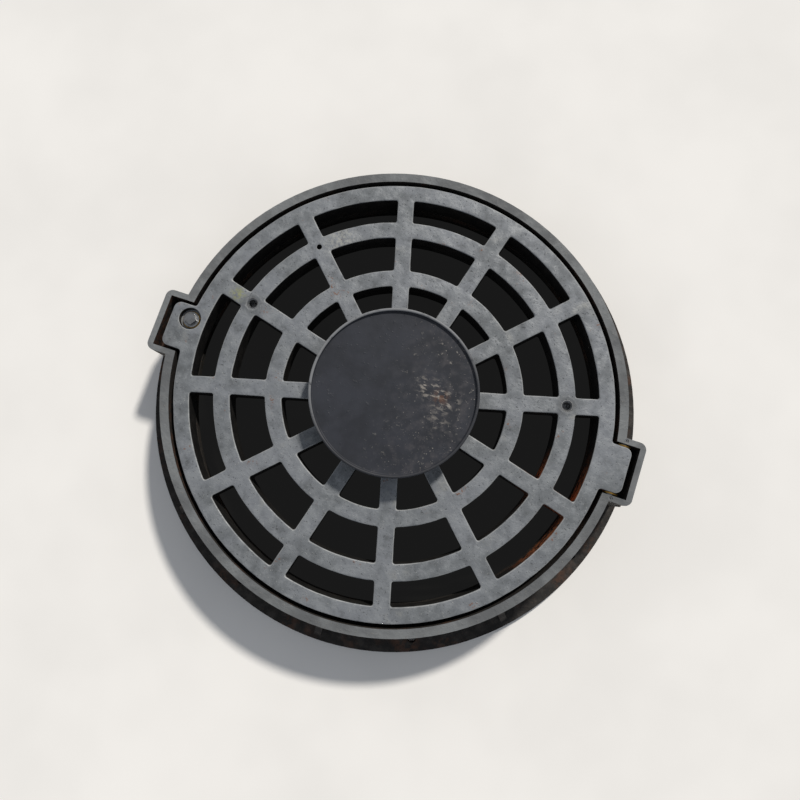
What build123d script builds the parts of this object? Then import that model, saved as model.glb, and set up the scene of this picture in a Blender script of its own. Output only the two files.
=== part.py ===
from build123d import *
import math
import os

# Round hinged drain cover in its frame, all in cast iron, for a paved surface.
# Millimetres, +Z up. The origin is the centre of the frame's base, on its underside.
# +X points to the hinge and -X to the lock.

# ---- lid casting ----
LID_RADIUS = 300.0
RIM_WIDTH = 22.0
RIM_DEPTH = 35.0
RIB_DEPTH = 40.0
RIB_WIDTH = 23.0
SPOKE_COUNT = 12
OUTER_SLOT = 32.0
SLOT_CORNER = 3.0
HUB_RADIUS = 106.0
HUB_RISE = 24.0
HUB_WALL = 12.0
EAR_WIDTH = 64.0
EAR_REACH = 28.0
EAR_CORNER = 10.0

# ---- frame casting ----
FRAME_HEIGHT = 100.0
LID_GAP = 6.0
FRAME_WALL = 9.0
LIP_WIDTH = 12.0
LIP_HEIGHT = 8.0
LEDGE_WIDTH = 26.0
LEDGE_THICKNESS = 12.0
SKIRT_WALL = 12.0
SKIRT_STEP = 8.0
FLANGE_WIDTH = 45.0
FLANGE_THICKNESS = 12.0
ANCHOR_COUNT = 8
ANCHOR_HOLE_RADIUS = 7.0
ANCHOR_INSET = 19.0
WEB_THICKNESS = 10.0
WEB_INSET = 6.0

# ---- seat gasket ----
GASKET_THICKNESS = 3.0
GASKET_INSET = 2.0

# ---- pockets for the ears ----
POCKET_SIDE_GAP = 4.0
POCKET_WALL = 8.0
POCKET_CORNER = 10.0
SWING_CLEARANCE = 3.5
LOCK_POCKET_DEPTH = 70.0

# ---- hinge ----
HINGE_SETBACK = 16.0
HINGE_DROP = 12.0
PIN_RADIUS = 6.0
BUSH_WALL = 2.0
BUSH_LENGTH = 22.0
BUSH_FLANGE_RADIUS = 11.0
BUSH_FLANGE = 2.0
SET_SCREW_RADIUS = 3.0
SET_SCREW_SEAT = 1.0
SET_SCREW_SINK = 1.0
SET_SCREW_SOCKET = 1.7

# ---- lock ----
LOCK_SETOUT = 1.0
LOCK_OFFSET = 13.0
LOCK_EAR_THICKNESS = 28.0
LOCK_BOSS_RADIUS = 17.0
RECESS_RADIUS = 15.0
RECESS_DEPTH = 9.0
SPINDLE_RADIUS = 7.0
SPINDLE_SQUARE = 9.8
SPINDLE_THREAD_RADIUS = 4.0
HEAD_FLANGE_RADIUS = 11.0
HEAD_FLANGE = 2.0
HEAD_RADIUS = 8.5
HEAD_SIDES = 5
HEAD_HEIGHT = 4.5
THRUST_WASHER = 1.5
THRUST_WASHER_RADIUS = 12.0
LOCK_BUSH_WALL = 2.5
LOCK_BUSH_SETBACK = 1.0
SEAL_WALL = 3.2
SEAL_HEIGHT = 4.0
SPRING_WASHER = 2.0
PAWL_REACH = 34.0
PAWL_WIDTH = 18.0
PAWL_THICKNESS = 10.0
LOCK_WASHER = 1.5
LOCK_WASHER_RADIUS = 9.0
LOCK_NUT_RADIUS = 7.5
LOCK_NUT = 6.5
THREAD_STICKOUT = 2.5

# ---- keeper ----
KEEPER_WIDTH = 16.0
KEEPER_NOSE = 8.0
KEEPER_PLATE = 2.5
KEEPER_GAP = 1.5
KEEPER_SCREW_RADIUS = 2.5
KEEPER_SCREW_HEAD = 5.0
KEEPER_SCREW_LENGTH = 9.0
KEEPER_SCREW_SPREAD = 40.0

# ---- centre cap ----
CAP_OVERHANG = 6.0
CAP_THICKNESS = 8.0
CAP_LIP_WIDTH = 4.0
CAP_LIP_HEIGHT = 4.5
CAP_SKIRT = 9.0
CAP_SKIRT_WALL = 4.0
CAP_GASKET = 2.0
STUD_COUNT = 4
STUD_INSET = 34.0
STUD_RADIUS = 5.0
STUD_DEPTH = 5.0
STUD_STICKOUT = 4.0
STUD_HOLE_GAP = 0.5
CAP_WASHER = 2.0
CAP_WASHER_RADIUS = 10.0
CAP_NUT = 8.0
CAP_NUT_RADIUS = 9.8

# ---- lifting sockets ----
LIFT_CELLS_FROM_HINGE = 0.5
INSERT_RADIUS = 8.0
INSERT_LENGTH = 30.0
INSERT_THREAD_RADIUS = 5.1
INSERT_THREAD_DEPTH = 24.0
INSERT_MOUTH = 2.0
INSERT_BOSS_RADIUS = 14.5
DRAIN_HOLE_RADIUS = 3.5
DRAIN_CELLS_FROM_LOCK = 1.5

# ---- shared by every hexagon ----
HEX_SIDES = 6

# ---- clearances ----
RUNNING_GAP = 0.05
SLIP_GAP = 0.1
CUT = 1.0

# ---- levels ----
lid_top = FRAME_HEIGHT
rim_bottom = lid_top - RIM_DEPTH
rib_bottom = lid_top - RIB_DEPTH
ledge_top = rim_bottom - GASKET_THICKNESS
ledge_bottom = ledge_top - LEDGE_THICKNESS
hub_top = lid_top + HUB_RISE
cap_bottom = hub_top + CAP_GASKET
hinge_z = lid_top - HINGE_DROP
boss_bottom = rib_bottom
recess_floor = lid_top - RECESS_DEPTH
pawl_top = boss_bottom - SPRING_WASHER
pawl_bottom = pawl_top - PAWL_THICKNESS
keeper_plate_bottom = pawl_top + KEEPER_GAP
keeper_plate_top = keeper_plate_bottom + KEEPER_PLATE
lock_pocket_floor = lid_top - LOCK_POCKET_DEPTH

# ---- radii and places ----
rim_inner = LID_RADIUS - RIM_WIDTH
outer_ring_outside = rim_inner - OUTER_SLOT
outer_ring_inside = outer_ring_outside - RIB_WIDTH
inner_slot = (outer_ring_inside - HUB_RADIUS - RIB_WIDTH) / 2
inner_ring_outside = outer_ring_inside - inner_slot
inner_ring_inside = inner_ring_outside - RIB_WIDTH
wall_inner = LID_RADIUS + LID_GAP
ledge_inner = wall_inner - LEDGE_WIDTH
skirt_inner = wall_inner - SKIRT_STEP
skirt_outer = skirt_inner + SKIRT_WALL
flange_radius = skirt_outer + FLANGE_WIDTH
anchor_radius = flange_radius - ANCHOR_INSET
hinge_x = LID_RADIUS + HINGE_SETBACK
knuckle_radius = EAR_REACH - HINGE_SETBACK
swing_radius = math.hypot(knuckle_radius, HINGE_DROP)
pocket_reach = hinge_x + swing_radius + SWING_CLEARANCE
pocket_half = EAR_WIDTH / 2 + POCKET_SIDE_GAP
block_half = pocket_half + POCKET_WALL
hinge_pocket_floor = hinge_z - swing_radius - SWING_CLEARANCE
pin_way_end = math.sqrt((wall_inner + LIP_WIDTH) ** 2 - (hinge_x - PIN_RADIUS) ** 2) + CUT
lock_x = -(LID_RADIUS + LOCK_SETOUT)
lock_place = Pos(lock_x, LOCK_OFFSET, 0)
cap_radius = HUB_RADIUS + CAP_OVERHANG
stud_circle = HUB_RADIUS - HUB_WALL - STUD_INSET
spoke_step = 360.0 / SPOKE_COUNT
lift_radius = (outer_ring_outside + outer_ring_inside) / 2


def tube(outer, inner, low, high):
    """A ring about Z between two levels."""
    return Pos(0, 0, low) * extrude(Circle(outer) - Circle(inner), high - low)


def rod(radius, low, high):
    """A round bar along Z between two levels."""
    return Pos(0, 0, low) * extrude(Circle(radius), high - low)


def block(x_range, y_range, z_range):
    """A box given by its lowest and highest values on each axis."""
    size = [high - low for low, high in (x_range, y_range, z_range)]
    centre = [(high + low) / 2 for low, high in (x_range, y_range, z_range)]
    return Pos(*centre) * Box(*size)


def around(count, first_angle, shape):
    """The same shape repeated about Z."""
    return [Rot(0, 0, first_angle + 360.0 * i / count) * shape for i in range(count)]


def along_y(radius, low, high):
    """A round bar along Y at the hinge axis."""
    bar = Rot(-90, 0, 0) * rod(radius, low, high)
    return Pos(hinge_x, 0, hinge_z) * bar


# ---- frame ----
def pocket_block(direction, low):
    """The box of iron outside the wall that an ear's pocket is cut into, its outer corners rounded."""
    inside = skirt_inner * direction
    outside = (pocket_reach + POCKET_WALL) * direction
    box = block(sorted((inside, outside)), (-block_half, block_half), (low, lid_top))
    uprights = box.edges().filter_by(Axis.Z).sort_by(Axis.X)
    return fillet(uprights[-2:] if direction > 0 else uprights[:2], POCKET_CORNER)


def pocket_cut(direction, low):
    inside = (ledge_inner - CUT) * direction
    outside = pocket_reach * direction
    return block(sorted((inside, outside)), (-pocket_half, pocket_half), (low, lid_top + CUT))


def web(height):
    """One upright web between the base flange and the wall, lying in the XZ plane."""
    outline = make_face(Polyline(
        (skirt_outer - CUT, FLANGE_THICKNESS - CUT),
        (flange_radius - WEB_INSET, FLANGE_THICKNESS - CUT),
        (flange_radius - WEB_INSET, FLANGE_THICKNESS),
        (skirt_outer + WEB_INSET, height),
        (skirt_outer - CUT, height),
        close=True))
    return extrude(Plane.XZ * outline, WEB_THICKNESS / 2, both=True)


def pocket_webs(direction, top):
    """Two straight webs that carry a pocket block on the base flange."""
    outside = (pocket_reach + POCKET_WALL) * direction
    inside = (skirt_outer - CUT) * direction
    webs = []
    for side in (-1, 1):
        y_range = sorted((side * block_half, side * (block_half - WEB_THICKNESS)))
        webs.append(block(sorted((inside, outside)), y_range, (FLANGE_THICKNESS - CUT, top + CUT)))
    return webs


def make_frame():
    hinge_block_bottom = hinge_pocket_floor - POCKET_WALL
    lock_block_bottom = lock_pocket_floor - POCKET_WALL
    body = tube(wall_inner + FRAME_WALL, wall_inner, ledge_bottom, lid_top)
    body += tube(wall_inner + LIP_WIDTH, wall_inner, lid_top - LIP_HEIGHT, lid_top)
    body += tube(wall_inner + FRAME_WALL, ledge_inner, ledge_bottom, ledge_top)
    body += tube(skirt_outer, skirt_inner, 0, ledge_bottom)
    body += tube(flange_radius, skirt_inner, 0, FLANGE_THICKNESS)
    body += pocket_block(1, hinge_block_bottom)
    body += pocket_block(-1, lock_block_bottom)
    for piece in pocket_webs(1, hinge_block_bottom) + pocket_webs(-1, lock_block_bottom):
        body += piece
    web_step = 360.0 / ANCHOR_COUNT
    for index in range(ANCHOR_COUNT):
        angle = index * web_step
        if angle % 180.0:
            body += Rot(0, 0, angle) * web(ledge_bottom)
    body -= rod(wall_inner, ledge_top, lid_top + CUT)
    body -= rod(ledge_inner, ledge_bottom - CUT, ledge_top + CUT)
    body -= rod(skirt_inner, -CUT, ledge_bottom)
    body -= pocket_cut(1, hinge_pocket_floor)
    body -= pocket_cut(-1, lock_pocket_floor)
    nose = block((-pocket_reach - CUT, KEEPER_WIDTH - pocket_reach),
                 (-pocket_half - CUT, pocket_half + CUT),
                 (keeper_plate_top, keeper_plate_top + KEEPER_NOSE))
    body += nose
    for screw in keeper_screw_set(SLIP_GAP):
        body -= screw
    anchor = Pos(anchor_radius, 0, 0) * rod(ANCHOR_HOLE_RADIUS, -CUT, FLANGE_THICKNESS + CUT)
    for hole in around(ANCHOR_COUNT, web_step / 2, anchor):
        body -= hole
    body -= along_y(PIN_RADIUS + RUNNING_GAP, -block_half - CUT, pin_way_end)
    for place in set_screw_places():
        body -= place * set_screw_body(SET_SCREW_RADIUS + RUNNING_GAP, lid_top + CUT)
    return body


def make_seat_gasket():
    ring = tube(wall_inner - GASKET_INSET, ledge_inner + GASKET_INSET, ledge_top, rim_bottom)
    return ring - pocket_cut(-1, lock_pocket_floor)


# ---- keeper ----
def keeper_screw_set(gap):
    """Two countersunk screws that point up into the keeper nose."""
    x = KEEPER_WIDTH / 2 - pocket_reach
    screws = []
    for side in (-1, 1):
        head = Pos(0, 0, keeper_plate_bottom + KEEPER_PLATE / 2) * Cone(
            KEEPER_SCREW_HEAD + gap, KEEPER_SCREW_RADIUS + gap, KEEPER_PLATE)
        shank = rod(KEEPER_SCREW_RADIUS + gap, keeper_plate_bottom + KEEPER_PLATE / 2,
                    keeper_plate_bottom + KEEPER_SCREW_LENGTH + gap)
        screws.append(Pos(x, side * KEEPER_SCREW_SPREAD / 2, 0) * (head + shank))
    return screws


def make_keeper_plate():
    plate = block((SLIP_GAP - pocket_reach, KEEPER_WIDTH - pocket_reach),
                  (SLIP_GAP - pocket_half, pocket_half - SLIP_GAP),
                  (keeper_plate_bottom, keeper_plate_top))
    for screw in keeper_screw_set(SLIP_GAP):
        plate -= screw
    return plate


# ---- lid ----
def slot(outer, inner):
    """One opening of the grate, midway between two spokes, centred on +X."""
    band = Circle(outer) - Circle(inner)
    for side in (-1, 1):
        spoke = Pos(LID_RADIUS / 2, 0) * Rectangle(LID_RADIUS, RIB_WIDTH)
        band -= Rot(0, 0, side * spoke_step / 2) * spoke
    opening = band.faces().sort_by(Axis.X)[-1]
    opening = opening.fillet_2d(SLOT_CORNER, opening.vertices())
    return Pos(0, 0, rib_bottom - CUT) * extrude(opening, RIB_DEPTH + 2 * CUT)


def ear_plan(direction):
    """The plan of an ear, with its two outer corners rounded."""
    length = EAR_REACH + RIM_WIDTH / 2
    outline = Pos(LID_RADIUS + EAR_REACH - length / 2, 0) * Rectangle(length, EAR_WIDTH)
    corners = outline.vertices().sort_by(Axis.X)[-2:]
    outline = fillet(corners, EAR_CORNER)
    return outline if direction > 0 else Rot(0, 0, 180) * outline


def hinge_ear():
    low = hinge_z - knuckle_radius
    plate = block((rim_inner + CUT, LID_RADIUS + EAR_REACH), (-EAR_WIDTH / 2, EAR_WIDTH / 2),
                  (hinge_z, lid_top))
    root = block((rim_inner + CUT, hinge_x), (-EAR_WIDTH / 2, EAR_WIDTH / 2), (low, lid_top))
    knuckle = along_y(knuckle_radius, -EAR_WIDTH / 2, EAR_WIDTH / 2)
    plan = Pos(0, 0, low - CUT) * extrude(ear_plan(1), lid_top - low + CUT)
    return (plate + root + knuckle) & plan


def lock_ear():
    plate = Pos(0, 0, lid_top - LOCK_EAR_THICKNESS) * extrude(ear_plan(-1), LOCK_EAR_THICKNESS)
    return plate + lock_place * rod(LOCK_BOSS_RADIUS, boss_bottom, lid_top)


def lift_places():
    angle = spoke_step * LIFT_CELLS_FROM_HINGE
    return [Rot(0, 0, a) * Pos(lift_radius, 0, 0) for a in (angle, 180.0 - angle)]


def stud_places():
    return around(STUD_COUNT, 180.0 / STUD_COUNT, Pos(stud_circle, 0, 0))


def make_grate():
    """The rim, rings, spokes and ears. The spokes run into the hub's wall."""
    lid = rod(LID_RADIUS, rim_bottom, lid_top)
    lid += rod(rim_inner, rib_bottom, lid_top)
    bands = ((rim_inner, outer_ring_outside),
             (outer_ring_inside, inner_ring_outside),
             (inner_ring_inside, HUB_RADIUS))
    for outer, inner in bands:
        for opening in around(SPOKE_COUNT, 0, slot(outer, inner)):
            lid -= opening
    lid -= rod(HUB_RADIUS, rib_bottom - CUT, lid_top + CUT)
    lid += hinge_ear()
    lid += lock_ear()
    for place in lift_places():
        lid += place * rod(INSERT_BOSS_RADIUS, rib_bottom, lid_top)
        lid -= place * rod(INSERT_RADIUS + RUNNING_GAP, rib_bottom - CUT, lid_top + CUT)
    drain = Pos(lift_radius, 0, 0) * rod(DRAIN_HOLE_RADIUS, rib_bottom - CUT, lid_top + CUT)
    lid -= Rot(0, 0, 180.0 - spoke_step * DRAIN_CELLS_FROM_LOCK) * drain
    lid -= along_y(PIN_RADIUS + BUSH_WALL + RUNNING_GAP, -EAR_WIDTH / 2 - CUT, EAR_WIDTH / 2 + CUT)
    bush_outer = SPINDLE_RADIUS + LOCK_BUSH_WALL
    seal_outer = SPINDLE_RADIUS + SEAL_WALL
    lid -= lock_place * rod(RECESS_RADIUS, recess_floor, lid_top + CUT)
    lid -= lock_place * rod(bush_outer + RUNNING_GAP, boss_bottom - CUT, lid_top)
    lid -= lock_place * rod(seal_outer + RUNNING_GAP, boss_bottom - CUT, boss_bottom + SEAL_HEIGHT)
    return lid


def make_grate_hub():
    """The raised drum in the middle, hollow below. It is one casting with the grate, and is kept as
    a solid of its own so that the hollow stays open."""
    hub = rod(HUB_RADIUS, rib_bottom, hub_top)
    hub -= rod(HUB_RADIUS - HUB_WALL, rib_bottom - CUT, hub_top - HUB_WALL)
    for place in stud_places():
        hub -= place * rod(STUD_RADIUS + STUD_HOLE_GAP, hub_top - HUB_WALL - CUT, hub_top + CUT)
    return hub


def make_lifting_inserts():
    insert = rod(INSERT_RADIUS, lid_top - INSERT_LENGTH, lid_top)
    insert -= rod(INSERT_THREAD_RADIUS, lid_top - INSERT_THREAD_DEPTH, lid_top + CUT)
    mouth = Cone(INSERT_THREAD_RADIUS, INSERT_THREAD_RADIUS + INSERT_MOUTH, INSERT_MOUTH)
    insert -= Pos(0, 0, lid_top - INSERT_MOUTH / 2) * mouth
    return [place * insert for place in lift_places()]


# ---- hinge ----
def set_screw_places():
    """The middle of each pocket side wall, above the pin."""
    middle = (pocket_half + block_half) / 2
    return [Pos(hinge_x, side * middle, 0) for side in (-1, 1)]


def set_screw_body(radius, high):
    return rod(radius, hinge_z + PIN_RADIUS - SET_SCREW_SEAT, high)


def make_hinge_pin():
    """A plain pin with a dimple near each end for its set screw."""
    pin = along_y(PIN_RADIUS, -block_half, block_half)
    for place in set_screw_places():
        pin -= place * set_screw_body(SET_SCREW_RADIUS + RUNNING_GAP, hinge_z + 2 * PIN_RADIUS)
    return pin


def make_set_screws():
    high = lid_top - SET_SCREW_SINK
    screw = set_screw_body(SET_SCREW_RADIUS, high)
    socket = extrude(RegularPolygon(SET_SCREW_SOCKET, HEX_SIDES), SET_SCREW_RADIUS)
    screw -= Pos(0, 0, high - SET_SCREW_RADIUS / 2) * socket
    return [place * screw for place in set_screw_places()]


def make_hinge_bush(side):
    """A flanged sleeve in one end of the knuckle, its flange outside the ear."""
    face = EAR_WIDTH / 2
    sleeve = along_y(PIN_RADIUS + BUSH_WALL, face - BUSH_LENGTH, face)
    flange = along_y(BUSH_FLANGE_RADIUS, face, face + BUSH_FLANGE)
    bore = along_y(PIN_RADIUS + RUNNING_GAP, face - BUSH_LENGTH - CUT, face + BUSH_FLANGE + CUT)
    bush = sleeve + flange - bore
    return bush if side > 0 else mirror(bush, about=Plane.XZ)


# ---- lock ----
def make_lock_spindle():
    flange_bottom = recess_floor + THRUST_WASHER
    head_bottom = flange_bottom + HEAD_FLANGE
    nut_bottom = pawl_bottom - LOCK_WASHER - LOCK_NUT
    spindle = rod(SPINDLE_RADIUS, pawl_top, flange_bottom)
    spindle += rod(HEAD_FLANGE_RADIUS, flange_bottom, head_bottom)
    head = RegularPolygon(HEAD_RADIUS, HEAD_SIDES)
    spindle += Pos(0, 0, head_bottom) * extrude(head, HEAD_HEIGHT)
    square = Rectangle(SPINDLE_SQUARE, SPINDLE_SQUARE)
    spindle += Pos(0, 0, pawl_bottom) * extrude(square, PAWL_THICKNESS)
    spindle += rod(SPINDLE_THREAD_RADIUS, nut_bottom - THREAD_STICKOUT, pawl_bottom)
    return lock_place * spindle


def make_thrust_washer():
    washer = tube(THRUST_WASHER_RADIUS, SPINDLE_RADIUS + RUNNING_GAP,
                  recess_floor, recess_floor + THRUST_WASHER)
    return lock_place * washer


def make_lock_bush():
    bush = tube(SPINDLE_RADIUS + LOCK_BUSH_WALL, SPINDLE_RADIUS + RUNNING_GAP,
                boss_bottom + SEAL_HEIGHT + LOCK_BUSH_SETBACK, recess_floor)
    return lock_place * bush


def make_lock_seal():
    seal = tube(SPINDLE_RADIUS + SEAL_WALL, SPINDLE_RADIUS + RUNNING_GAP,
                boss_bottom, boss_bottom + SEAL_HEIGHT)
    return lock_place * seal


def make_spring_washer():
    washer = tube(SPINDLE_RADIUS + LOCK_BUSH_WALL, SPINDLE_RADIUS + RUNNING_GAP, pawl_top, boss_bottom)
    return lock_place * washer


def make_pawl():
    """The lock's arm, which points along -Y when the lock is open."""
    bar = Pos(0, -PAWL_REACH / 2) * Rectangle(PAWL_WIDTH, PAWL_REACH)
    hole_side = SPINDLE_SQUARE + 2 * SLIP_GAP
    plan = bar + Circle(PAWL_WIDTH / 2) - Rectangle(hole_side, hole_side)
    return lock_place * Pos(0, 0, pawl_bottom) * extrude(plan, PAWL_THICKNESS)


def make_lock_washer():
    washer = tube(LOCK_WASHER_RADIUS, SPINDLE_THREAD_RADIUS + SLIP_GAP,
                  pawl_bottom - LOCK_WASHER, pawl_bottom)
    return lock_place * washer


def hex_nut(radius, hole, low, high):
    return Pos(0, 0, low) * extrude(RegularPolygon(radius, HEX_SIDES) - Circle(hole), high - low)


def make_lock_nut():
    top = pawl_bottom - LOCK_WASHER
    return lock_place * hex_nut(LOCK_NUT_RADIUS, SPINDLE_THREAD_RADIUS + RUNNING_GAP, top - LOCK_NUT, top)


# ---- centre cap ----
def make_centre_cap():
    cap = rod(cap_radius, cap_bottom, cap_bottom + CAP_THICKNESS)
    lip_top = cap_bottom + CAP_THICKNESS + CAP_LIP_HEIGHT
    cap += tube(cap_radius, cap_radius - CAP_LIP_WIDTH, cap_bottom, lip_top)
    cap += tube(cap_radius, cap_radius - CAP_SKIRT_WALL, cap_bottom - CAP_SKIRT, cap_bottom + CUT)
    for place in stud_places():
        cap -= place * rod(STUD_RADIUS + RUNNING_GAP, cap_bottom - CUT, cap_bottom + STUD_DEPTH)
    return cap


def make_cap_gasket():
    return tube(HUB_RADIUS, HUB_RADIUS - HUB_WALL, hub_top, cap_bottom)


def make_cap_studs():
    nut_bottom = hub_top - HUB_WALL - CAP_WASHER - CAP_NUT
    stud = rod(STUD_RADIUS, nut_bottom - STUD_STICKOUT, cap_bottom + STUD_DEPTH)
    return [place * stud for place in stud_places()]


def make_cap_washers():
    top = hub_top - HUB_WALL
    washer = tube(CAP_WASHER_RADIUS, STUD_RADIUS + SLIP_GAP, top - CAP_WASHER, top)
    return [place * washer for place in stud_places()]


def make_cap_nuts():
    top = hub_top - HUB_WALL - CAP_WASHER
    nut = hex_nut(CAP_NUT_RADIUS, STUD_RADIUS + RUNNING_GAP, top - CAP_NUT, top)
    return [place * nut for place in stud_places()]


def save(name, shape):
    """Writes one node. A list becomes a group of separate solids."""
    if isinstance(shape, list):
        shape = Compound(children=shape)
    export_step(shape, os.path.join("parts", name + ".step"))


os.makedirs("parts", exist_ok=True)
save("frame", make_frame())
save("seat_gasket", make_seat_gasket())
save("keeper_plate", make_keeper_plate())
save("keeper_screws", keeper_screw_set(0.0))
save("grate", make_grate())
save("grate_hub", make_grate_hub())
save("lifting_inserts", make_lifting_inserts())
save("hinge_pin", make_hinge_pin())
save("hinge_set_screws", make_set_screws())
save("hinge_bush_front", make_hinge_bush(-1))
save("hinge_bush_rear", make_hinge_bush(1))
save("lock_spindle", make_lock_spindle())
save("lock_thrust_washer", make_thrust_washer())
save("lock_bush", make_lock_bush())
save("lock_seal", make_lock_seal())
save("lock_spring_washer", make_spring_washer())
save("lock_pawl", make_pawl())
save("lock_washer", make_lock_washer())
save("lock_nut", make_lock_nut())
save("centre_cap", make_centre_cap())
save("cap_gasket", make_cap_gasket())
save("cap_studs", make_cap_studs())
save("cap_washers", make_cap_washers())
save("cap_nuts", make_cap_nuts())
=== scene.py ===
import math

import bmesh
import bpy
from mathutils import Matrix, Vector, kdtree, noise
from mathutils.geometry import delaunay_2d_cdt


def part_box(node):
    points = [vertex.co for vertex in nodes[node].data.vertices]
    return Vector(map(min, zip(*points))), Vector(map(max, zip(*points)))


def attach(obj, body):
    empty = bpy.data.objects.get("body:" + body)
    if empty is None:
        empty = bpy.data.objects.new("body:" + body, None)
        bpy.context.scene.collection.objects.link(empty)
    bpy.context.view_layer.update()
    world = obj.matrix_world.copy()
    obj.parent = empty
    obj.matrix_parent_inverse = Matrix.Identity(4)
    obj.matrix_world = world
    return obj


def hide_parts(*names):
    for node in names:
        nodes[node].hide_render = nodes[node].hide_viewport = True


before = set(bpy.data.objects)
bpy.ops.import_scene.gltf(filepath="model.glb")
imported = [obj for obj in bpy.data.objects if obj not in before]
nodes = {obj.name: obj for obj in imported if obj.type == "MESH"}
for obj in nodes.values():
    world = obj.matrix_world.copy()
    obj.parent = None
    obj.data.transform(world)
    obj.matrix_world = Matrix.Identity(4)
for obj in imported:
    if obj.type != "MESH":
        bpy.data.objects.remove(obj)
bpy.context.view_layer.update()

MM = 0.001
TURN = math.tau

# Sizes of the casting, in millimetres. They are the solids' own, apart from the ears' feet, which
# are filleted here, and the hub's neck, which is 4 mm further in.
LID_TOP = 100.0
LID_RADIUS = 300.0
RIM_BOTTOM = 65.0
RIB_BOTTOM = 60.0
RIM_INNER = 278.0
HALF_RIB = 11.5
# How far a step in the underside slopes.
STEP_RUN = 0.8
SPOKES = 12
# The slots of each band, as (outer radius, inner radius).
BANDS = ((278.0, 246.0), (223.0, 176.0), (153.0, 106.0))
SLOT_CORNER = 3.0
EAR_HALF = 32.0
EAR_REACH = 328.0
EAR_CORNER = 10.0
EAR_FOOT = 4.0
HINGE = (316.0, 88.0)
KNUCKLE_RADIUS = 12.0
HINGE_BORE = 8.05
LOCK_EAR_BOTTOM = 72.0
LOCK = (-301.0, 13.0)
LOCK_BOSS_RADIUS = 17.0
LOCK_RECESS = 15.0
LOCK_RECESS_FLOOR = 91.0
LOCK_BORE = 9.6
LOCK_SEAL_RADIUS = 10.25
LOCK_SEAL_TOP = 64.0
LIFT_BORE = 8.05
DRAIN_RADIUS = 3.5
# The two lifting inserts and the drain hole sit on this circle.
MARK_CIRCLE = 234.5
LIFT_ANGLE = TURN / SPOKES / 2
LIFTS = [(side * MARK_CIRCLE * math.cos(LIFT_ANGLE), MARK_CIRCLE * math.sin(LIFT_ANGLE)) for side in (1, -1)]
HUB_NECK = 102.0
HUB_TOP = 124.0
HUB_PLATE_BOTTOM = 112.0
HUB_HOLLOW = 94.0


# ---- small helpers ----
def linear(hex_colour):
    """An sRGB hex colour as the linear RGBA that a shader takes."""
    channels = [int(hex_colour[i:i + 2], 16) / 255 for i in (1, 3, 5)]
    return [c / 12.92 if c <= 0.04045 else ((c + 0.055) / 1.055) ** 2.4 for c in channels] + [1.0]


def add(tree, kind, inputs=None, output=0, **settings):
    """Adds a node with its settings and links, and returns one of its outputs. An input is a value,
    a hex colour or another node's output."""
    made = tree.nodes.new(kind)
    for name, value in settings.items():
        setattr(made, name, value)
    for name, value in (inputs or {}).items():
        if isinstance(value, bpy.types.NodeSocket):
            tree.links.new(value, made.inputs[name])
        else:
            made.inputs[name].default_value = linear(value) if isinstance(value, str) else value
    return made.outputs[output]


def new_material(name, shader_values):
    """An empty material with its output and principled shader, and the shader's plain values."""
    material = bpy.data.materials.new(name)
    material.use_nodes = True
    tree = material.node_tree
    tree.nodes.clear()
    surface = add(tree, "ShaderNodeBsdfPrincipled", shader_values)
    output = tree.nodes.new("ShaderNodeOutputMaterial")
    tree.links.new(surface, output.inputs["Surface"])
    return material, tree, surface.node


def patches(tree, place, size_mm, low, high, detail=3.0):
    """Blotches of about this size. They are 0 where the noise is at low and 1 where it is at high."""
    noise_value = add(tree, "ShaderNodeTexNoise",
                      {"Vector": place, "Scale": 1 / (size_mm * MM), "Detail": detail, "Roughness": 0.6})
    return add(tree, "ShaderNodeMapRange", {"Value": noise_value, "From Min": low, "From Max": high},
               interpolation_type="SMOOTHSTEP")


def spot(tree, place, centre_mm, reach_mm):
    """A soft round mark about one point of the object."""
    centre = [c * MM for c in centre_mm]
    away = add(tree, "ShaderNodeVectorMath", {0: place, 1: centre}, output="Value", operation="DISTANCE")
    return add(tree, "ShaderNodeMapRange", {"Value": away, "From Min": reach_mm * MM, "From Max": 0.0},
               interpolation_type="SMOOTHSTEP")


def overlay(tree, under, colour, strength, *shares):
    """Lays a colour over another, as strongly as all the shares multiplied together."""
    total = strength
    for share in shares:
        total = add(tree, "ShaderNodeMath", {0: share, 1: total}, operation="MULTIPLY")
    # Of a colour mix, input 0 is the share, 6 and 7 are the two colours, and output 2 is the result.
    return add(tree, "ShaderNodeMix", {0: total, 6: under, 7: colour}, output=2, data_type="RGBA")


def relief(tree, shader, layers):
    """Adds height layers, each (height, depth in mm), one on another."""
    inputs = {}
    for height, depth_mm in layers:
        inputs.update({"Height": height, "Distance": depth_mm * MM, "Strength": 1.0})
        inputs["Normal"] = add(tree, "ShaderNodeBump", inputs)
    tree.links.new(inputs["Normal"], shader.inputs["Normal"])


def object_places(tree):
    """The place on the object, its height, and how far its surface faces up."""
    place = add(tree, "ShaderNodeTexCoord", output="Object")
    normal = add(tree, "ShaderNodeTexCoord", output="Normal")
    height = add(tree, "ShaderNodeSeparateXYZ", {"Vector": place}, output="Z")
    upward = add(tree, "ShaderNodeSeparateXYZ", {"Vector": normal}, output="Z")
    return place, height, upward


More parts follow.
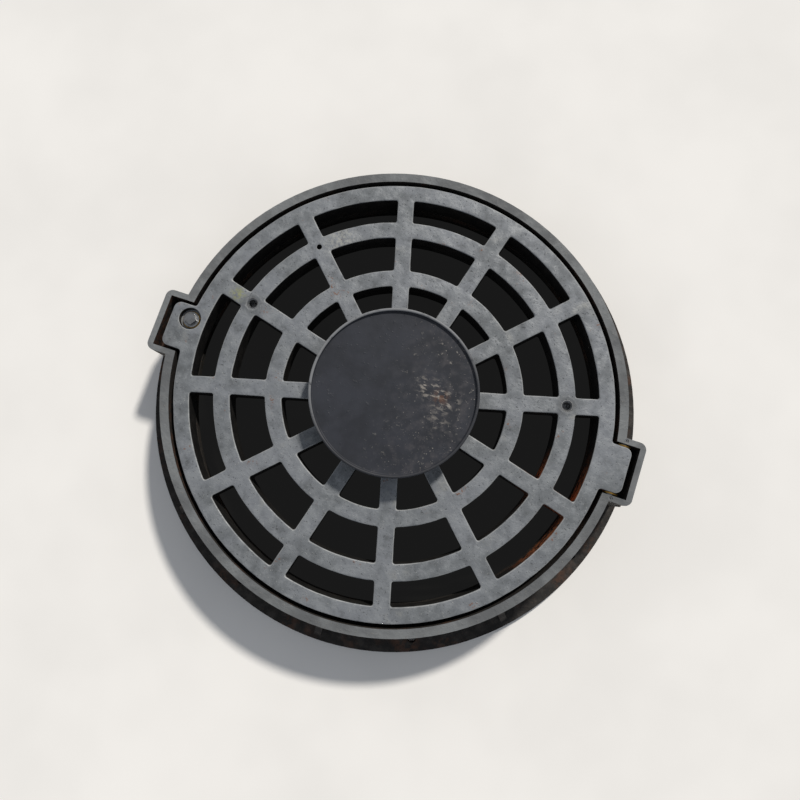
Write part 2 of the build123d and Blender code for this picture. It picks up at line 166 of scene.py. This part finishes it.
# ---- materials ----
def make_grate_iron():
    """Grey cast iron, sand cast and dipped black. Traffic has worn the top to dull blue-grey and
    left the slot walls black. The rounded edges are palest, and there is a little rust and lichen.
    The rust spots on the slot walls are painted brighter than rust in shade, as painted sunlight."""
    material, tree, shader = new_material("grey_iron_sand_cast_worn", {"Metallic": 0.2})
    place, _, upward = object_places(tree)
    blotch = patches(tree, place, 16, 0.4, 0.72, 5.0)
    hollow = patches(tree, place, 16, 0.46, 0.24, 5.0)
    pit = patches(tree, place, 3.0, 0.4, 0.24, 3.0)
    speck = patches(tree, place, 2.4, 0.6, 0.74, 3.0)
    top = overlay(tree, "#6b7075", "#7b8087", 1.0, patches(tree, place, 80, 0.38, 0.62))
    top = overlay(tree, top, "#8e9398", 0.7, blotch)
    top = overlay(tree, top, "#4f5356", 0.7, hollow)
    top = overlay(tree, top, "#a9acad", 0.6, speck)
    top = overlay(tree, top, "#46484a", 0.65, pit)
    top = overlay(tree, top, "#8a8a84", 0.55, patches(tree, place, 55, 0.58, 0.7), blotch)
    top = overlay(tree, top, "#73492f", 0.85, patches(tree, place, 34, 0.63, 0.7),
                  patches(tree, place, 4, 0.5, 0.62))
    for x, y in reversed(LIFTS):
        top = overlay(tree, top, "#505355", 0.75, spot(tree, place, (x, y, LID_TOP), 22),
                      patches(tree, place, 8, 0.3, 0.5))
    lichen = patches(tree, place, 5, 0.42, 0.56)
    top = overlay(tree, top, "#8f936c", 0.9, spot(tree, place, (-250, 67, LID_TOP), 16), lichen)
    top = overlay(tree, top, "#a4a6a2", 0.7, spot(tree, place, (-140, 184, LID_TOP), 34), lichen)
    edge_low = add(tree, "ShaderNodeMapRange", {"Value": upward, "From Min": 0.35, "From Max": 0.75})
    edge_high = add(tree, "ShaderNodeMapRange", {"Value": upward, "From Min": 0.99, "From Max": 0.92})
    top = overlay(tree, top, "#a5a8a9", 0.7, edge_low, edge_high, patches(tree, place, 22, 0.3, 0.6))
    wall = overlay(tree, "#151515", "#262422", 1.0, patches(tree, place, 14, 0.4, 0.7))
    under = add(tree, "ShaderNodeMapRange", {"Value": upward, "From Min": -0.3, "From Max": -0.8})
    wall = overlay(tree, wall, "#403c38", 0.9, under, patches(tree, place, 18, 0.3, 0.6, 5.0))
    wall = overlay(tree, wall, "#6b4029", 0.85, under, patches(tree, place, 40, 0.5, 0.64, 6.0))
    # Rust spots on the slot walls: the rust is real, but its colour is painted brighter than rust in shade
    # is, as painted sunlight on these walls.
    rust = patches(tree, place, 9, 0.4, 0.54, 5.0)
    for centre, reach in (((272, -62, 84), 85), ((248, -130, 84), 60), ((218, -40, 84), 45)):
        wall = overlay(tree, wall, "#bd7144", 0.95, spot(tree, place, centre, reach), rust)
    facing = add(tree, "ShaderNodeMapRange", {"Value": upward, "From Min": 0.25, "From Max": 0.6})
    tree.links.new(overlay(tree, wall, top, 1.0, facing), shader.inputs["Base Color"])
    tree.links.new(add(tree, "ShaderNodeMapRange", {"Value": blotch, "To Min": 0.66, "To Max": 0.5}),
                   shader.inputs["Roughness"])
    relief(tree, shader, ((blotch, 0.35), (speck, 0.25), (pit, -0.45)))
    return material


def make_frame_iron():
    """Grey cast iron, sand cast. The lip on top is worn grey and dusty, and below it the walls are
    dark, with brown rust where the coating has gone."""
    material, tree, shader = new_material("grey_iron_sand_cast_rusted", {"Metallic": 0.1})
    place, height, upward = object_places(tree)
    blotch = patches(tree, place, 14, 0.4, 0.7, 5.0)
    speck = patches(tree, place, 2.4, 0.58, 0.76, 3.0)
    top = overlay(tree, "#606366", "#777b7e", 1.0, patches(tree, place, 60, 0.38, 0.62))
    top = overlay(tree, top, "#8f8e89", 0.6, speck)
    top = overlay(tree, top, "#4e4f50", 0.5, patches(tree, place, 3, 0.4, 0.24))
    wall = overlay(tree, "#232221", "#33302d", 1.0, blotch)
    wall = overlay(tree, wall, "#5a3d2d", 0.65, patches(tree, place, 60, 0.47, 0.64),
                   patches(tree, place, 9, 0.4, 0.58, 5.0))
    wall = overlay(tree, wall, "#6f5443", 0.45, speck)
    facing = add(tree, "ShaderNodeMapRange", {"Value": upward, "From Min": 0.3, "From Max": 0.7})
    at_top = add(tree, "ShaderNodeMapRange", {"Value": height, "From Min": 0.088, "From Max": 0.095})
    tree.links.new(overlay(tree, wall, top, 1.0, facing, at_top), shader.inputs["Base Color"])
    tree.links.new(add(tree, "ShaderNodeMapRange", {"Value": blotch, "To Min": 0.8, "To Max": 0.62}),
                   shader.inputs["Roughness"])
    relief(tree, shader, ((blotch, 0.5), (speck, 0.35)))
    return material


def make_cap_iron():
    """Iron plate, pressed and painted dark blue-grey. It is smooth and satin. Its lip is paler on one
    side, and on the side towards the hinge road dust lies in specks round a wiped, rusty patch."""
    material, tree, shader = new_material("iron_plate_pressed_painted", {"Specular IOR Level": 0.25})
    place, height, upward = object_places(tree)
    side = add(tree, "ShaderNodeSeparateXYZ", {"Vector": place}, output="X")
    dusty = add(tree, "ShaderNodeMapRange",
                {"Value": side, "From Min": -0.02, "From Max": 0.05, "To Min": 0.05})
    film = patches(tree, place, 45, 0.35, 0.65, 4.0)
    paint = overlay(tree, "#2a2d34", "#34373f", 1.0, film)
    paint = overlay(tree, paint, "#4a494d", 0.6, dusty, patches(tree, place, 11, 0.45, 0.7, 5.0))
    speck = patches(tree, place, 6.5, 0.64, 0.72, 2.0)
    grit = patches(tree, place, 2.6, 0.66, 0.76, 2.0)
    cluster = patches(tree, place, 30, 0.45, 0.62)
    paint = overlay(tree, paint, "#8d8a85", 0.75, dusty, speck, cluster)
    paint = overlay(tree, paint, "#a19d97", 0.75, dusty, grit)
    wiped = add(tree, "ShaderNodeVectorMath", {0: place, 1: (0.5, 1.0, 1.0)}, operation="MULTIPLY")
    smear = patches(tree, wiped, 4.5, 0.5, 0.64, 6.0)
    for centre, reach, strength in (((38, 20, 134), 20, 0.8), ((56, 14, 134), 26, 0.9),
                                    ((74, 9, 134), 20, 0.8), ((66, -20, 134), 24, 0.45)):
        paint = overlay(tree, paint, "#a09b94", strength, spot(tree, place, centre, reach), smear)
    paint = overlay(tree, paint, "#5f4436", 0.75, spot(tree, place, (60, 12, 134), 16),
                    patches(tree, place, 7, 0.42, 0.56, 5.0))
    edge = add(tree, "ShaderNodeMapRange", {"Value": upward, "From Min": 0.1, "From Max": 0.6})
    lip = add(tree, "ShaderNodeMapRange", {"Value": height, "From Min": 0.1355, "From Max": 0.137})
    lip_bearing = add(tree, "ShaderNodeVectorMath", {0: place, 1: (-0.62, 0.78, 0.0)}, output="Value",
                      operation="DOT_PRODUCT")
    pale_half = add(tree, "ShaderNodeMapRange", {"Value": lip_bearing, "From Min": -0.03, "From Max": 0.05})
    # The whole lip is given a mid grey, then the half of it towards -X and +Y is made pale; the other half
    # stays darker.
    paint = overlay(tree, paint, "#383a3f", 0.8, edge, lip)
    paint = overlay(tree, paint, "#818488", 0.95, edge, lip, pale_half, patches(tree, place, 9, 0.15, 0.45))
    tree.links.new(paint, shader.inputs["Base Color"])
    tree.links.new(add(tree, "ShaderNodeMapRange", {"Value": film, "To Min": 0.6, "To Max": 0.48}),
                   shader.inputs["Roughness"])
    relief(tree, shader, ((grit, 0.12), (speck, 0.2)))
    return material


def make_rubber():
    """EPDM rubber, moulded. It is matt and near black, with pale dust in its grain, which is drawn
    coarser than it is so that it shows."""
    material, tree, shader = new_material("epdm_rubber_moulded", {"Roughness": 0.85})
    place, _, _ = object_places(tree)
    dust = patches(tree, place, 1.5, 0.45, 0.75)
    tree.links.new(overlay(tree, "#19191a", "#343433", 1.0, dust), shader.inputs["Base Color"])
    relief(tree, shader, ((dust, 0.15),))
    return material


def make_metal(name, dark, pale, roughness):
    """A bare or plated metal with fine tool marks and a dull film in patches."""
    material, tree, shader = new_material(name, {"Metallic": 1.0})
    place, _, _ = object_places(tree)
    film = patches(tree, place, 6, 0.35, 0.65, 4.0)
    marks = patches(tree, place, 0.8, 0.3, 0.7, 2.0)
    tree.links.new(overlay(tree, dark, pale, 1.0, film), shader.inputs["Base Color"])
    worn = {"Value": film, "To Min": roughness + 0.12, "To Max": roughness - 0.06}
    tree.links.new(add(tree, "ShaderNodeMapRange", worn), shader.inputs["Roughness"])
    relief(tree, shader, ((marks, 0.04),))
    return material


grate_iron = make_grate_iron()
frame_iron = make_frame_iron()
cap_iron = make_cap_iron()
rubber = make_rubber()
# Stainless steel, turned: cool grey and half bright.
stainless = make_metal("stainless_steel_turned", "#77797b", "#a3a5a7", 0.36)
# Mild steel, zinc plated: paler and duller, with a white bloom.
zinc = make_metal("mild_steel_zinc_plated", "#85867f", "#b3b4ae", 0.45)
# Brass, turned and tarnished: brown gold.
brass = make_metal("brass_turned_tarnished", "#6b5327", "#a98a4a", 0.4)

node_finish = {
    "grate": grate_iron, "grate_hub": grate_iron, "frame": frame_iron, "centre_cap": cap_iron,
    "seat_gasket": rubber, "cap_gasket": rubber, "lock_seal": rubber,
    "hinge_pin": stainless, "hinge_set_screws": stainless, "lifting_inserts": stainless,
    "lock_spindle": stainless, "keeper_plate": stainless, "keeper_screws": stainless,
    "lock_spring_washer": stainless, "cap_studs": stainless,
    "lock_pawl": zinc, "lock_washer": zinc, "lock_nut": zinc, "cap_washers": zinc, "cap_nuts": zinc,
    "hinge_bush_front": brass, "hinge_bush_rear": brass, "lock_bush": brass, "lock_thrust_washer": brass,
}
for name, material in node_finish.items():
    nodes[name].data.materials.clear()
    nodes[name].data.materials.append(material)


# ---- castings ----
def arc(centre, radius, start, end, count):
    """Points on an arc, both ends included, from one angle to another in radians."""
    return [(centre[0] + radius * math.cos(start + (end - start) * i / (count - 1)),
             centre[1] + radius * math.sin(start + (end - start) * i / (count - 1))) for i in range(count)]


def straight(first, last, count):
    """Points strictly between two others."""
    return [(first[0] + (last[0] - first[0]) * i / (count + 1),
             first[1] + (last[1] - first[1]) * i / (count + 1)) for i in range(1, count + 1)]


def turned(points, angle):
    """Points turned about the middle of the lid."""
    across, up = math.cos(angle), math.sin(angle)
    return [(x * across - y * up, x * up + y * across) for x, y in points]


def slot_loop(outer, inner, grow):
    """One slot's outline, midway between two spokes. grow makes it wider by that much all round."""
    along = -TURN / SPOKES / 2
    outer_edge, inner_edge = outer + grow, inner - grow
    # Corner centres, as (distance along the lower spoke, distance from its middle).
    across = HALF_RIB - grow + SLOT_CORNER
    far = math.sqrt((outer_edge - SLOT_CORNER) ** 2 - across ** 2)
    near = math.sqrt((inner_edge + SLOT_CORNER) ** 2 - across ** 2)
    near_centre, far_centre = turned([(near, across), (far, across)], along)
    far_angle = math.atan2(far_centre[1], far_centre[0])
    near_angle = math.atan2(near_centre[1], near_centre[0])
    far_corner = arc(far_centre, SLOT_CORNER, along - TURN / 4, far_angle, 5)
    near_corner = arc(near_centre, SLOT_CORNER, near_angle - TURN / 2, along - TURN / 4, 5)
    steps = max(3, round((outer - inner) / 6))
    half = near_corner + straight(near_corner[-1], far_corner[0], steps) + far_corner
    upper = [(x, -y) for x, y in reversed(half)]
    # The long sides have a point about every 5 mm.
    outer_points = arc((0, 0), outer_edge, far_angle, -far_angle, round(outer * 0.4 / 5))[1:-1]
    inner_points = arc((0, 0), inner_edge, -near_angle, near_angle, round(inner * 0.35 / 5) + 3)[1:-1]
    return half + outer_points + upper + inner_points


def rim_loop(grow):
    """The lid's outline with both ears. grow makes it wider by that much all round."""
    radius = LID_RADIUS + grow
    half = EAR_HALF + grow
    reach = EAR_REACH + grow
    corner = EAR_CORNER + grow
    foot = EAR_FOOT - grow
    foot_y = half + foot
    foot_x = math.sqrt((radius + foot) ** 2 - foot_y ** 2)
    foot_angle = math.atan2(foot_y, foot_x)
    rising = arc((foot_x, foot_y), foot, foot_angle + TURN / 2, TURN * 3 / 4, 5)
    tip = arc((reach - corner, half - corner), corner, TURN / 4, 0, 8)
    ear_half = rising + straight(rising[-1], tip[0], 3) + tip
    ear = [(x, -y) for x, y in ear_half] + straight((reach, corner - half), (reach, half - corner), 8)
    ear += list(reversed(ear_half))
    side = arc((0, 0), radius, foot_angle, TURN / 2 - foot_angle, 160)[1:-1]
    other = [(-x, -y) for x, y in ear]
    return ear + side + other + [(-x, -y) for x, y in side]


def round_loop(centre, radius, count=24):
    """Points evenly round a circle."""
    return arc(centre, radius, 0, TURN * (count - 1) / count, count)


def lid_bottom(x, y):
    """The level of the lid casting's underside."""
    away = math.hypot(x, y)
    if math.hypot(x - LOCK[0], y - LOCK[1]) < LOCK_BOSS_RADIUS:
        return RIB_BOTTOM
    step = min(1.0, max(0.0, (away - RIM_INNER + STEP_RUN) / STEP_RUN))
    level = RIB_BOTTOM + (RIM_BOTTOM - RIB_BOTTOM) * step
    if x > 0 and abs(y) < EAR_HALF + EAR_FOOT and away > LID_RADIUS:
        beyond = min(max(x - HINGE[0], 0.0), KNUCKLE_RADIUS)
        under_ear = HINGE[1] - math.sqrt(KNUCKLE_RADIUS ** 2 - beyond ** 2)
        level += (under_ear - level) * min(1.0, (away - LID_RADIUS) / STEP_RUN)
    if x < 0 and abs(y) < EAR_HALF + EAR_FOOT and away > LID_RADIUS:
        level += (LOCK_EAR_BOTTOM - level) * min(1.0, (away - LID_RADIUS) / STEP_RUN)
    return level


def grown_rows(bottom_round, top_round, draft):
    """The wall of a cast opening as (grow, drop from the top or None, rise from the bottom)."""
    rows = []
    for i in range(4):
        angle = TURN / 4 * i / 3
        rows.append((top_round * (1 - math.sin(angle)), top_round * (1 - math.cos(angle)), None))
    rows.append((draft / 2, None, "half"))
    for i in range(3):
        angle = TURN / 4 * i / 2
        grow = draft + bottom_round * (1 - math.cos(angle))
        rows.append((grow, None, bottom_round * (1 - math.sin(angle))))
    return rows


def wall_rings(bm, loop_at, rows):
    """Adds the rings of one wall and joins them. Returns the top and the bottom ring."""
    rings = []
    for grow, drop, rise in rows:
        ring = []
        for x, y in loop_at(grow):
            low = lid_bottom(x, y)
            if drop is not None:
                z = LID_TOP - drop
            elif rise == "half":
                z = (LID_TOP + low) / 2
            else:
                z = low + rise
            ring.append(bm.verts.new((x, y, z)))
        rings.append(ring)
    for upper, lower in zip(rings, rings[1:]):
        for i, vertex in enumerate(upper):
            j = (i + 1) % len(upper)
            bm.faces.new((vertex, lower[i], lower[j], upper[j]))
    return rings[0], rings[-1]


def fill_between(bm, outline, holes, extra, level):
    """Fills an outline that has holes, through extra points inside. level gives a new point's height."""
    rings = [outline] + holes
    points = [Vector((v.co.x, v.co.y)) for ring in rings for v in ring]
    ring_verts = [v for ring in rings for v in ring]
    loops, first = [], 0
    for ring in rings:
        loops.append(list(range(first, first + len(ring))))
        first += len(ring)
    points += [Vector(p) for p in extra]
    # Only a face whose one source is the first loop, the outline, is outside every hole.
    out, _, faces, sources, _, face_sources = delaunay_2d_cdt(points, [], loops, 1, 1e-4)
    made = {}
    for index, source in enumerate(sources):
        for old in source:
            if old < len(ring_verts):
                made[index] = ring_verts[old]
    for face, source in zip(faces, face_sources):
        if list(source) != [0]:
            continue
        for index in face:
            if index not in made:
                x, y = out[index]
                made[index] = bm.verts.new((x, y, level(x, y)))
        bm.faces.new([made[index] for index in face])


def drift(place):
    """Three plain noises as a vector. Blender's own vector noise differs from one run to the next."""
    apart = ((9.3, -1.5, -8.0), (0.0, 0.0, 0.0), (-6.3, 11.2, 4.9))
    return Vector([noise.noise(Vector(place) + Vector(offset)) for offset in apart])


def inside_points(rings, spacing, margin, extra_places):
    """Points over the lid in a loose triangle grid, none nearer than margin to a ring."""
    near = kdtree.KDTree(sum(len(r) for r in rings))
    index = 0
    for ring in rings:
        for vertex in ring:
            near.insert((vertex.co.x, vertex.co.y, 0), index)
            index += 1
    near.balance()
    steps = int(EAR_REACH / spacing) + 1
    found = list(extra_places)
    for i in range(-steps, steps + 1):
        for j in range(-steps, steps + 1):
            x = (i + 0.5 * (j % 2)) * spacing
            y = j * spacing * 0.87
            shift = drift((x, y, 3.3)) * spacing * 0.25
            found.append((x + shift.x, y + shift.y))
    return [p for p in found if near.find((p[0], p[1], 0))[2] > margin]


def lathe_rings(bm, profile, count, centre=(0.0, 0.0)):
    """Rings about Z for each (radius, height), joined in order. A radius of 0 closes the end."""
    rings = []
    for radius, height in profile:
        if radius:
            rings.append([bm.verts.new((x, y, height)) for x, y in round_loop(centre, radius, count)])
        else:
            rings.append([bm.verts.new((centre[0], centre[1], height))])
    join_rings(bm, rings)
    return rings


def join_rings(bm, rings):
    """Joins each ring to the next with faces. A ring may be a single point."""
    for first, second in zip(rings, rings[1:]):
        count = max(len(first), len(second))
        for i in range(count):
            j = (i + 1) % count
            corners = [first[i % len(first)], first[j % len(first)],
                       second[j % len(second)], second[i % len(second)]]
            bm.faces.new(list(dict.fromkeys(corners)))


def roughen(bm, share_at):
    """Moves each point by a little of two noises, as sand casting leaves a surface."""
    for vertex in bm.verts:
        place = vertex.co
        share = share_at(place)
        shift = drift(place / 11.0) * 0.22 + drift(place / 45.0) * 0.4
        vertex.co = place + shift * share


def to_object(bm, name, material=None):
    """Turns a mesh in millimetres into an object in metres. With a material, it is smooth shaded."""
    bmesh.ops.recalc_face_normals(bm, faces=bm.faces)
    bmesh.ops.scale(bm, vec=(MM, MM, MM), verts=bm.verts)
    mesh = bpy.data.meshes.new(name)
    bm.to_mesh(mesh)
    bm.free()
    if material:
        mesh.materials.append(material)
        mesh.shade_smooth()
    made = bpy.data.objects.new(name, mesh)
    bpy.context.scene.collection.objects.link(made)
    return made


def finish_piece(piece, body, replaced):
    """Evens out the shading of a piece, hangs it on its body and hides the parts that it replaces."""
    weighted = piece.modifiers.new("weighted", "WEIGHTED_NORMAL")
    weighted.keep_sharp = True
    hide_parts(*replaced)
    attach(piece, body)


def drill_hinge(casting):
    """Cuts the hole for the hinge bushes through the ear, along Y."""
    bm = bmesh.new()
    end = EAR_HALF + 4.0
    lathe_rings(bm, ((0, -end), (HINGE_BORE, -end), (HINGE_BORE, end), (0, end)), 40)
    to_hinge = Matrix.Translation((HINGE[0], 0, HINGE[1])) @ Matrix.Rotation(TURN / 4, 4, "X")
    bmesh.ops.transform(bm, verts=bm.verts, matrix=to_hinge)
    cutter = to_object(bm, "drill")
    cut = casting.modifiers.new("drilled", "BOOLEAN")
    cut.operation = "DIFFERENCE"
    cut.solver = "EXACT"
    cut.object = cutter
    graph = bpy.context.evaluated_depsgraph_get()
    casting.data = bpy.data.meshes.new_from_object(casting.evaluated_get(graph))
    casting.modifiers.clear()
    bpy.data.objects.remove(cutter)
    casting.data.set_sharp_from_angle(angle=math.radians(50))


def make_grate_casting():
    """The whole lid casting: rim, spokes, rings, ears and the hollow hub, with rounded cast edges."""
    bm = bmesh.new()
    slot_rows = grown_rows(1.0, 1.8, 1.2)
    tops, bottoms = [], []
    for outer, inner in BANDS:
        for k in range(SPOKES):
            angle = TURN * k / SPOKES
            top, bottom = wall_rings(bm, lambda grow: turned(slot_loop(outer, inner, grow), angle), slot_rows)
            tops.append(top)
            bottoms.append(bottom)
    rim_rows = [(-grow, drop, rise) for grow, drop, rise in grown_rows(0.8, 1.8, 0.5)]
    rim_top, rim_low = wall_rings(bm, rim_loop, rim_rows)
    drain = turned([(MARK_CIRCLE, 0)], TURN * 3 / 8)[0]
    for centre, radius, edge in ((LIFTS[0], LIFT_BORE, 0.5), (LIFTS[1], LIFT_BORE, 0.5),
                                 (drain, DRAIN_RADIUS, 0.8)):
        rows = grown_rows(0.4, edge, 0.0)
        top, bottom = wall_rings(bm, lambda grow: round_loop(centre, radius + grow), rows)
        tops.append(top)
        bottoms.append(bottom)
    lock_profile = ((LOCK_RECESS + 1.0, LID_TOP), (LOCK_RECESS + 0.3, LID_TOP - 0.4),
                    (LOCK_RECESS, LID_TOP - 1.0), (LOCK_RECESS, LOCK_RECESS_FLOOR + 0.6),
                    (LOCK_RECESS - 0.4, LOCK_RECESS_FLOOR), (LOCK_BORE, LOCK_RECESS_FLOOR),
                    (LOCK_BORE, LOCK_SEAL_TOP), (LOCK_SEAL_RADIUS, LOCK_SEAL_TOP),
                    (LOCK_SEAL_RADIUS, RIB_BOTTOM))
    lock_rings = lathe_rings(bm, lock_profile, 40, LOCK)
    tops.append(lock_rings[0])
    bottoms.append(lock_rings[-1])
    flat_rings = (70.0, 35.0, 0)
    hub_profile = [(HUB_NECK + 1.2, LID_TOP), (HUB_NECK + 0.3, LID_TOP + 0.4), (HUB_NECK, LID_TOP + 1.2),
                   (HUB_NECK, LID_TOP + 12.0), (HUB_NECK, HUB_TOP - 1.0), (HUB_NECK - 1.0, HUB_TOP)]
    hub_profile += [(radius, HUB_TOP) for radius in flat_rings]
    hub_top = lathe_rings(bm, hub_profile, 144)
    hollow_profile = [(HUB_HOLLOW + 1.0, RIB_BOTTOM), (HUB_HOLLOW + 0.2, RIB_BOTTOM + 0.4),
                      (HUB_HOLLOW, RIB_BOTTOM + 1.2), (HUB_HOLLOW, RIB_BOTTOM + 25.0),
                      (HUB_HOLLOW, HUB_PLATE_BOTTOM - 3.0), (HUB_HOLLOW - 1.0, HUB_PLATE_BOTTOM - 1.0),
                      (HUB_HOLLOW - 3.0, HUB_PLATE_BOTTOM)]
    hollow_profile += [(radius, HUB_PLATE_BOTTOM) for radius in flat_rings]
    hollow = lathe_rings(bm, hollow_profile, 144)
    tops.append(hub_top[0])
    bottoms.append(hollow[0])
    # A low ring stands round each lifting insert.
    ring_middle, ring_half, ring_height = 11.4, 1.6, 0.7
    ring_points = [p for centre in LIFTS for radius in (10.0, ring_middle, 12.8)
                   for p in round_loop(centre, radius, 28)]
    steps = [p for radius in (RIM_INNER - 1.2, RIM_INNER + 0.3) for p in round_loop((0, 0), radius, 420)]
    ear_steps = [p for side in (1, -1) for radius in (LID_RADIUS - 0.2, LID_RADIUS + 1.0)
                 for p in arc((0, 0), radius * side, -0.105, 0.105, 15)]
    boss_edge = [p for radius in (LOCK_BOSS_RADIUS - 0.4, LOCK_BOSS_RADIUS + 0.4)
                 for p in round_loop(LOCK, radius, 40)]
    top_points = inside_points([rim_top] + tops, 5.0, 1.6, ring_points)
    fill_between(bm, rim_top, tops, top_points, lambda x, y: LID_TOP)
    low_points = inside_points([rim_low] + bottoms, 5.5, 0.9, steps + ear_steps + boss_edge)
    fill_between(bm, rim_low, bottoms, low_points, lid_bottom)

    def share_at(place):
        """How rough the surface is: not at all on seats for other pieces, and less on the ears."""
        near_lock = (place.xy - Vector(LOCK)).length < LOCK_BOSS_RADIUS + 2.0
        on_hub = place.length < 100.0 or place.xy.length < HUB_NECK + 3.0 and place.z > LID_TOP + 0.1
        if near_lock or on_hub:
            return 0.0
        on_ear = abs(place.x) > LID_RADIUS - 8.0 and abs(place.y) < EAR_HALF + 8.0
        return 0.4 if on_ear else 1.0

    for vertex in bm.verts:
        if vertex.co.z == LID_TOP:
            for x, y in LIFTS:
                away = math.hypot(vertex.co.x - x, vertex.co.y - y)
                vertex.co.z += ring_height * max(0.0, 1.0 - abs(away - ring_middle) / ring_half)
    roughen(bm, share_at)
    casting = to_object(bm, "grate_casting", grate_iron)
    drill_hinge(casting)
    finish_piece(casting, "lid_body", ("grate", "grate_hub"))


def make_cap_plate():
    """The dished cap: a flat plate with a thin upturned lip, rounded on top, and a short skirt."""
    bm = bmesh.new()
    low, high = [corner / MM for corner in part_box("centre_cap")]
    plate_top = 134.0
    plate_bottom = 126.0
    edge = high.x
    lip = 4.0
    foot_round = 1.5
    # The profile goes out over the plate, up and over the lip, down the outside and back underneath.
    plate = [(radius, plate_top) for radius in (0, 12.0, 24.0, 36.0, 48.0, 60.0, 72.0, 84.0, 96.0)]
    foot = [(edge - lip - foot_round * (1 - math.cos(angle)), plate_top + foot_round * (1 - math.sin(angle)))
            for angle in (TURN / 4 * i / 4 for i in range(4, -1, -1))]
    crown = arc((edge - lip / 2, high.z - lip / 2), lip / 2, TURN / 2, 0, 9)
    outside = [(edge, plate_top), (edge, plate_top - 6.0), (edge, low.z + 1.0), (edge - 0.3, low.z + 0.3),
               (edge - 1.0, low.z)]
    inside = [(edge - lip + 0.6, low.z), (edge - lip, low.z + 0.6), (edge - lip, plate_bottom - 1.0),
              (edge - lip - 1.0, plate_bottom), (50.0, plate_bottom), (0, plate_bottom)]
    lathe_rings(bm, plate + foot + crown + outside + inside, 240)
    # The plate is very slightly wavy, as pressed plate is.
    for vertex in bm.verts:
        if abs(vertex.co.z - plate_top) < 0.01:
            vertex.co.z += 0.35 * noise.noise(vertex.co / 38.0) - 0.2
    cap = to_object(bm, "cap_plate", cap_iron)
    finish_piece(cap, "lid_body", ("centre_cap",))


def soften_edges(name, width_mm):
    """Rounds a node's sharp edges a little with modifiers, and leaves its mesh as it is."""
    node = nodes[name]
    weld = node.modifiers.new("weld", "WELD")
    weld.merge_threshold = 0.01 * MM
    flat = node.modifiers.new("flat", "DECIMATE")
    flat.decimate_type = "DISSOLVE"
    flat.angle_limit = math.radians(1)
    rounding = node.modifiers.new("rounding", "BEVEL")
    rounding.width = width_mm * MM
    rounding.segments = 2
    rounding.limit_method = "ANGLE"
    rounding.angle_limit = math.radians(40)
    node.modifiers.new("weighted", "WEIGHTED_NORMAL")


make_grate_casting()
make_cap_plate()
for name, width_mm in (("frame", 1.2), ("lock_pawl", 0.8), ("lock_spindle", 0.5), ("lock_nut", 0.4),
                       ("cap_nuts", 0.5), ("cap_studs", 0.5), ("keeper_plate", 0.3), ("seat_gasket", 0.5)):
    soften_edges(name, width_mm)


# ---- stage ----
def make_stage():
    """A pale floor with a round shaft under the frame. The shaft's wall is painted near black as painted
    shade, and gives off a faint light as painted light.
    """
    frame_low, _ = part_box("frame")
    shaft_radius = 300 * MM
    shaft_depth = 500 * MM
    floor_radius = 6.0
    steps = 96
    ring = round_loop((0, 0), shaft_radius, steps)
    edge = round_loop((0, 0), floor_radius, steps)
    bm = bmesh.new()
    inner = [bm.verts.new((x, y, frame_low.z)) for x, y in ring]
    outer = [bm.verts.new((x, y, frame_low.z)) for x, y in edge]
    deep = [bm.verts.new((x, y, frame_low.z - shaft_depth)) for x, y in ring]
    for i in range(steps):
        j = (i + 1) % steps
        bm.faces.new((inner[i], outer[i], outer[j], inner[j])).material_index = 0
        bm.faces.new((inner[j], deep[j], deep[i], inner[i])).material_index = 1
    bm.faces.new(deep).material_index = 1
    mesh = bpy.data.meshes.new("floor")
    bm.to_mesh(mesh)
    bm.free()
    floor = bpy.data.objects.new("floor", mesh)
    bpy.context.scene.collection.objects.link(floor)
    # The shaft's near-black colour is painted shade of a deep hole, and its weak emission is painted light,
    # not a lamp.
    for name, pale, dark, painted_glow in (("floor_plaster", "#f8f8f7", "#f1f1f0", 0.0),
                                  ("shaft_painted_shade_and_glow", "#0b0b0a", "#080808", 0.0098)):
        values = {"Roughness": 0.9, "Specular IOR Level": 0.0, "Emission Color": "#ffffff",
                  "Emission Strength": painted_glow}
        material, tree, shader = new_material(name, values)
        place, _, _ = object_places(tree)
        colour = overlay(tree, pale, dark, 1.0, patches(tree, place, 300, 0.3, 0.7))
        tree.links.new(colour, shader.inputs["Base Color"])
        mesh.materials.append(material)


def make_light():
    """A high soft key from one side, and a pale even surround."""
    scene = bpy.context.scene
    scene.view_settings.view_transform = "Standard"
    world = bpy.data.worlds.new("studio")
    world.use_nodes = True
    background = world.node_tree.nodes["Background"]
    background.inputs["Color"].default_value = linear("#f0f4fb")
    background.inputs["Strength"].default_value = 0.34
    scene.world = world
    key = bpy.data.lights.new("key", "SUN")
    key.angle = math.radians(5)
    key.energy = 2.85
    key.color = linear("#fff8ee")[:3]
    lamp = bpy.data.objects.new("key", key)
    bearing = math.radians(77)
    height = math.radians(45)
    away = Vector((math.cos(bearing) * math.cos(height), math.sin(bearing) * math.cos(height),
                   math.sin(height)))
    lamp.location = away * 2.6
    lamp.rotation_mode = "QUATERNION"
    lamp.rotation_quaternion = away.to_track_quat("Z", "Y")
    scene.collection.objects.link(lamp)


def make_camera():
    """Looks almost straight down, with +X pointing right and a little down in the picture."""
    tilt = math.radians(7.5)
    turn = math.radians(18.4)
    distance = 0.9
    right = Vector((math.cos(turn), math.sin(turn), 0))
    picture_up = Vector((-math.sin(turn), math.cos(turn), 0))
    back = Vector((0, 0, math.cos(tilt))) - picture_up * math.sin(tilt)
    aim = right * 7.8 * MM - picture_up * 6.0 * MM + Vector((0, 0, LID_TOP * MM))
    data = bpy.data.cameras.new("camera")
    data.sensor_width = 36
    data.lens = 29.9
    camera = bpy.data.objects.new("camera", data)
    camera.matrix_world = Matrix.Translation(aim + back * distance) @ Matrix(
        (right, back.cross(right), back)).transposed().to_4x4()
    bpy.context.scene.collection.objects.link(camera)
    bpy.context.scene.camera = camera


make_stage()
make_light()
make_camera()
